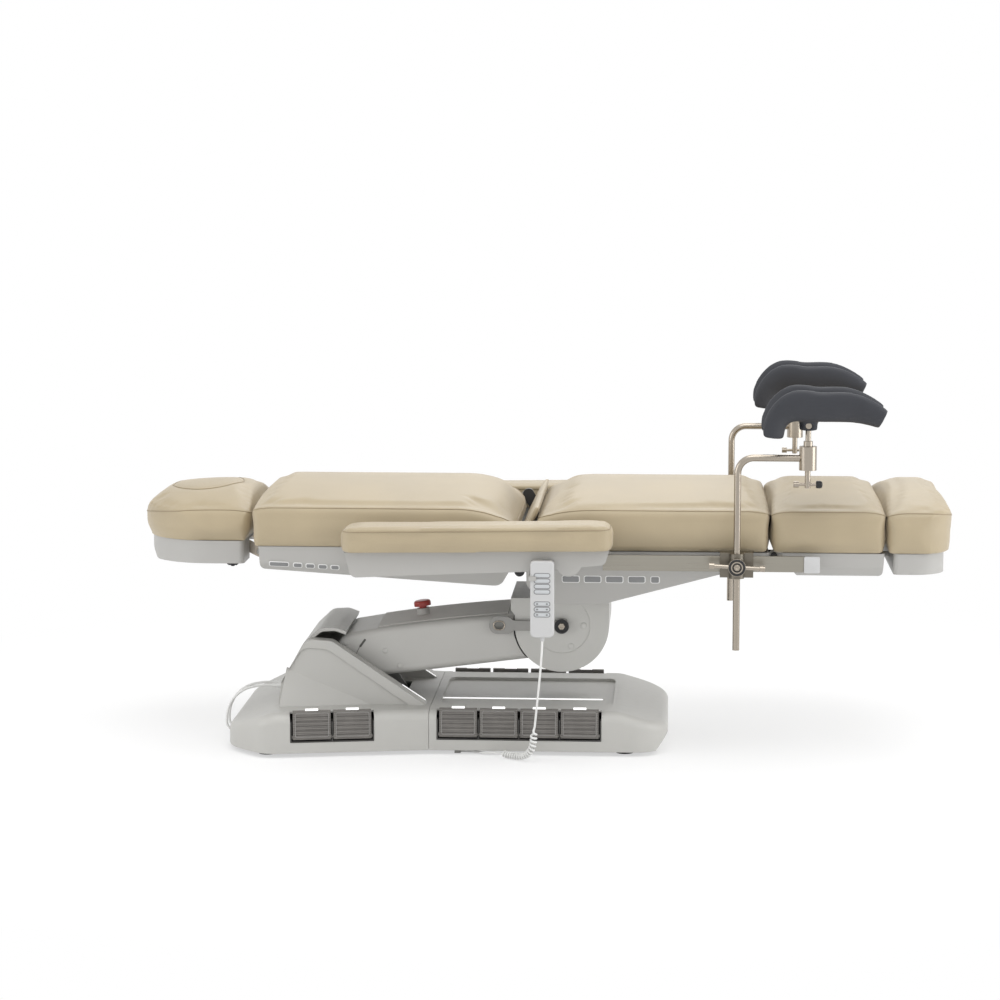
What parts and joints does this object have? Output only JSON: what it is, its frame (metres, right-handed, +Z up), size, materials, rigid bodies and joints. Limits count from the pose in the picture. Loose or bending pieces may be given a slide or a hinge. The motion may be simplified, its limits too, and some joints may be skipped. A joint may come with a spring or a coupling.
{
  "type": "gynecological chair",
  "caption": "Powered examination chair on a lift arm, with a padded seat, tilting back, head and leg sections, armrests, foot pedals and leg crutches on rail clamps.",
  "frame": {"origin": "on the floor under the middle of the chair's length and width", "axes": "+X to the foot end, +Y to the far side of the pictured view, +Z up"},
  "size_m": [1.9, 0.865, 0.8784],
  "materials": {
    "upholstery": "satin",
    "cover_plastic": "satin",
    "pan_plastic": "satin",
    "knuckle_casting": "satin",
    "panel_plastic": "matte",
    "frame_steel": "satin",
    "actuator_metal": "satin",
    "stainless": "satin",
    "pedal_plastic": "matte",
    "crutch_skin": "matte",
    "black_plastic": "satin",
    "foot_rubber": "matte",
    "stop_red": "gloss",
    "handset_plastic": "satin",
    "cord_white": "satin"
  },
  "bodies": {
    "base": {"base_frame": "frame_steel", "rear_base_cover": "cover_plastic", "front_base_cover": "cover_plastic", "levelling_feet": "foot_rubber", "pedal_trays": "pedal_plastic", "handset_cord": "cord_white", "rear_leads": "cord_white", "lead_plugs": "cord_white"},
    "arm": {"arm_beam": "frame_steel", "arm_cover": "cover_plastic", "arm_top_panel": "panel_plastic", "lift_actuator_body": "actuator_metal"},
    "estop": {"estop_button": "stop_red"},
    "link": {"parallel_link": "frame_steel"},
    "actuator_rod": {"lift_actuator_rod": "actuator_metal"},
    "knuckle": {"knuckle_housing": "knuckle_casting"},
    "lever": {"swivel_lever": "stainless"},
    "seat": {"seat_frame": "frame_steel", "seat_actuators": "actuator_metal", "seat_pan": "pan_plastic", "seat_cushion": "upholstery", "side_rails": "stainless", "gap_flap": "upholstery", "handset": "handset_plastic"},
    "back": {"back_pan": "pan_plastic", "back_cushion": "upholstery"},
    "head": {"head_pan": "pan_plastic", "head_cushion": "upholstery", "head_bracket": "stainless"},
    "head_lock": {"head_knob": "black_plastic"},
    "leg": {"leg_pan": "pan_plastic", "leg_cushion": "upholstery"},
    "foot": {"foot_pan": "pan_plastic", "foot_cushion": "upholstery"},
    "armrest_near": {"armrest_pad_near": "upholstery", "armrest_shell_near": "pan_plastic"},
    "clamp_near": {"stirrup_clamp_near": "stainless"},
    "clamp_screw_near": {"clamp_screw_near": "stainless"},
    "post_near": {"stirrup_post_near": "stainless"},
    "crutch_rod_near": {"crutch_rod_near": "stainless"},
    "crutch_near": {"crutch_pad_near": "crutch_skin"},
    "armrest_far": {"armrest_pad_far": "upholstery", "armrest_shell_far": "pan_plastic"},
    "clamp_far": {"stirrup_clamp_far": "stainless"},
    "clamp_screw_far": {"clamp_screw_far": "stainless"},
    "post_far": {"stirrup_post_far": "stainless"},
    "crutch_rod_far": {"crutch_rod_far": "stainless"},
    "crutch_far": {"crutch_pad_far": "crutch_skin"},
    "pedal_near_front_1": {"pedal_near_front_1": "pedal_plastic"},
    "pedal_far_front_1": {"pedal_far_front_1": "pedal_plastic"},
    "pedal_near_front_2": {"pedal_near_front_2": "pedal_plastic"},
    "pedal_far_front_2": {"pedal_far_front_2": "pedal_plastic"},
    "pedal_near_front_3": {"pedal_near_front_3": "pedal_plastic"},
    "pedal_far_front_3": {"pedal_far_front_3": "pedal_plastic"},
    "pedal_near_front_4": {"pedal_near_front_4": "pedal_plastic"},
    "pedal_far_front_4": {"pedal_far_front_4": "pedal_plastic"},
    "pedal_near_rear_1": {"pedal_near_rear_1": "pedal_plastic"},
    "pedal_far_rear_1": {"pedal_far_rear_1": "pedal_plastic"},
    "pedal_near_rear_2": {"pedal_near_rear_2": "pedal_plastic"},
    "pedal_far_rear_2": {"pedal_far_rear_2": "pedal_plastic"}
  },
  "joints": [
    {"name": "lift", "type": "hinge", "parent": "base", "child": "arm", "pos_m": [-0.44, 0, 0.225], "axis": [0, -1, 0], "range_deg": [0, 48]},
    {"name": "seat_levelling", "type": "hinge", "parent": "arm", "child": "knuckle", "pos_m": [0.049, 0, 0.287], "axis": [0, -1, 0], "range_deg": [-48, 0]},
    {"name": "link_swing", "type": "hinge", "parent": "base", "child": "link", "pos_m": [-0.41999, 0, 0.19199], "axis": [0, -1, 0], "range_deg": [0, 48]},
    {"name": "lift_actuator", "type": "slide", "parent": "arm", "child": "actuator_rod", "axis": [-0.9921, 0, -0.1258], "range_m": [0, 0.0315]},
    {"name": "stop_button", "type": "slide", "parent": "arm", "child": "estop", "axis": [0.132, 0, -0.9912], "range_m": [0, 0.005], "stiffness_N_per_m": 1500},
    {"name": "swivel_lock", "type": "hinge", "parent": "knuckle", "child": "lever", "pos_m": [0.049, -0.13, 0.287], "axis": [0, 1, 0], "range_deg": [0, 15]},
    {"name": "swivel", "type": "hinge", "parent": "knuckle", "child": "seat", "pos_m": [0.049, 0, 0.352], "axis": [0, 0, 1], "range_deg": [-90, 90]},
    {"name": "back_tilt", "type": "hinge", "parent": "seat", "child": "back", "pos_m": [-0.052, 0, 0.545], "axis": [0, 1, 0], "range_deg": [0, 55]},
    {"name": "head_tilt", "type": "hinge", "parent": "back", "child": "head", "pos_m": [-0.674, 0, 0.455], "axis": [0, 1, 0], "range_deg": [-35, 0]},
    {"name": "head_lock_turn", "type": "hinge", "parent": "head", "child": "head_lock", "pos_m": [-0.735, -0.12, 0.443], "axis": [0, 1, 0], "range_deg": [-90, 90]},
    {"name": "leg_fold", "type": "hinge", "parent": "seat", "child": "leg", "pos_m": [0.545, 0, 0.472], "axis": [0, 1, 0], "range_deg": [0, 85]},
    {"name": "foot_extend", "type": "slide", "parent": "leg", "child": "foot", "axis": [1, 0, 0], "range_m": [0, 0.15]},
    {"name": "armrest_near_swing", "type": "hinge", "parent": "seat", "child": "armrest_near", "pos_m": [0.075, -0.372, 0.478], "axis": [0, 1, 0], "range_deg": [0, 90]},
    {"name": "clamp_near_slide", "type": "slide", "parent": "seat", "child": "clamp_near", "axis": [1, 0, 0], "range_m": [0, 0.08]},
    {"name": "clamp_screw_near_turn", "type": "hinge", "parent": "clamp_near", "child": "clamp_screw_near", "pos_m": [0.456, -0.37, 0.468], "axis": [0, 1, 0], "range_deg": [-90, 90]},
    {"name": "post_near_slide", "type": "slide", "parent": "clamp_near", "child": "post_near", "axis": [0, 0, 1], "range_m": [-0.03, 0.12]},
    {"name": "crutch_near_turn", "type": "hinge", "parent": "post_near", "child": "crutch_rod_near", "pos_m": [0.614, -0.345, 0.716], "axis": [0, 0, 1], "range_deg": [-90, 90]},
    {"name": "crutch_near_tilt", "type": "hinge", "parent": "crutch_rod_near", "child": "crutch_near", "pos_m": [0.614, -0.345, 0.791], "axis": [0, 1, 0], "range_deg": [-20, 20]},
    {"name": "armrest_far_swing", "type": "hinge", "parent": "seat", "child": "armrest_far", "pos_m": [0.075, 0.372, 0.478], "axis": [0, 1, 0], "range_deg": [0, 90]},
    {"name": "clamp_far_slide", "type": "slide", "parent": "seat", "child": "clamp_far", "axis": [1, 0, 0], "range_m": [0, 0.08]},
    {"name": "clamp_screw_far_turn", "type": "hinge", "parent": "clamp_far", "child": "clamp_screw_far", "pos_m": [0.456, 0.37, 0.468], "axis": [0, 1, 0], "range_deg": [-90, 90]},
    {"name": "post_far_slide", "type": "slide", "parent": "clamp_far", "child": "post_far", "axis": [0, 0, 1], "range_m": [-0.03, 0.12]},
    {"name": "crutch_far_turn", "type": "hinge", "parent": "post_far", "child": "crutch_rod_far", "pos_m": [0.614, 0.345, 0.716], "axis": [0, 0, 1], "range_deg": [-90, 90]},
    {"name": "crutch_far_tilt", "type": "hinge", "parent": "crutch_rod_far", "child": "crutch_far", "pos_m": [0.614, 0.345, 0.791], "axis": [0, 1, 0], "range_deg": [-20, 20]},
    {"name": "pedal_near_front_1_press", "type": "hinge", "parent": "base", "child": "pedal_near_front_1", "pos_m": [-0.1885, -0.252, 0.048], "axis": [-1, 0, 0], "range_deg": [0, 6], "stiffness_Nm_per_rad": 6},
    {"name": "pedal_far_front_1_press", "type": "hinge", "parent": "base", "child": "pedal_far_front_1", "pos_m": [-0.1885, 0.252, 0.048], "axis": [1, 0, 0], "range_deg": [0, 6], "stiffness_Nm_per_rad": 6},
    {"name": "pedal_near_front_2_press", "type": "hinge", "parent": "base", "child": "pedal_near_front_2", "pos_m": [-0.0935, -0.252, 0.048], "axis": [-1, 0, 0], "range_deg": [0, 6], "stiffness_Nm_per_rad": 6},
    {"name": "pedal_far_front_2_press", "type": "hinge", "parent": "base", "child": "pedal_far_front_2", "pos_m": [-0.0935, 0.252, 0.048], "axis": [1, 0, 0], "range_deg": [0, 6], "stiffness_Nm_per_rad": 6},
    {"name": "pedal_near_front_3_press", "type": "hinge", "parent": "base", "child": "pedal_near_front_3", "pos_m": [0.0015, -0.252, 0.048], "axis": [-1, 0, 0], "range_deg": [0, 6], "stiffness_Nm_per_rad": 6},
    {"name": "pedal_far_front_3_press", "type": "hinge", "parent": "base", "child": "pedal_far_front_3", "pos_m": [0.0015, 0.252, 0.048], "axis": [1, 0, 0], "range_deg": [0, 6], "stiffness_Nm_per_rad": 6},
    {"name": "pedal_near_front_4_press", "type": "hinge", "parent": "base", "child": "pedal_near_front_4", "pos_m": [0.0965, -0.252, 0.048], "axis": [-1, 0, 0], "range_deg": [0, 6], "stiffness_Nm_per_rad": 6},
    {"name": "pedal_far_front_4_press", "type": "hinge", "parent": "base", "child": "pedal_far_front_4", "pos_m": [0.0965, 0.252, 0.048], "axis": [1, 0, 0], "range_deg": [0, 6], "stiffness_Nm_per_rad": 6},
    {"name": "pedal_near_rear_1_press", "type": "hinge", "parent": "base", "child": "pedal_near_rear_1", "pos_m": [-0.52726, -0.30129, 0.048], "axis": [-0.9836, -0.1802, 0], "range_deg": [0, 6], "stiffness_Nm_per_rad": 6},
    {"name": "pedal_far_rear_1_press", "type": "hinge", "parent": "base", "child": "pedal_far_rear_1", "pos_m": [-0.52726, 0.30129, 0.048], "axis": [0.9836, -0.1802, 0], "range_deg": [0, 6], "stiffness_Nm_per_rad": 6},
    {"name": "pedal_near_rear_2_press", "type": "hinge", "parent": "base", "child": "pedal_near_rear_2", "pos_m": [-0.43382, -0.28417, 0.048], "axis": [-0.9836, -0.1802, 0], "range_deg": [0, 6], "stiffness_Nm_per_rad": 6},
    {"name": "pedal_far_rear_2_press", "type": "hinge", "parent": "base", "child": "pedal_far_rear_2", "pos_m": [-0.43382, 0.28417, 0.048], "axis": [0.9836, -0.1802, 0], "range_deg": [0, 6], "stiffness_Nm_per_rad": 6}
  ],
  "couplings": [
    {"joint": "seat_levelling", "follows": "lift", "ratio": -1},
    {"joint": "link_swing", "follows": "lift", "ratio": 1},
    {"joint": "lift_actuator", "follows": "lift", "m_per_rad": 0.037481}
  ]
}
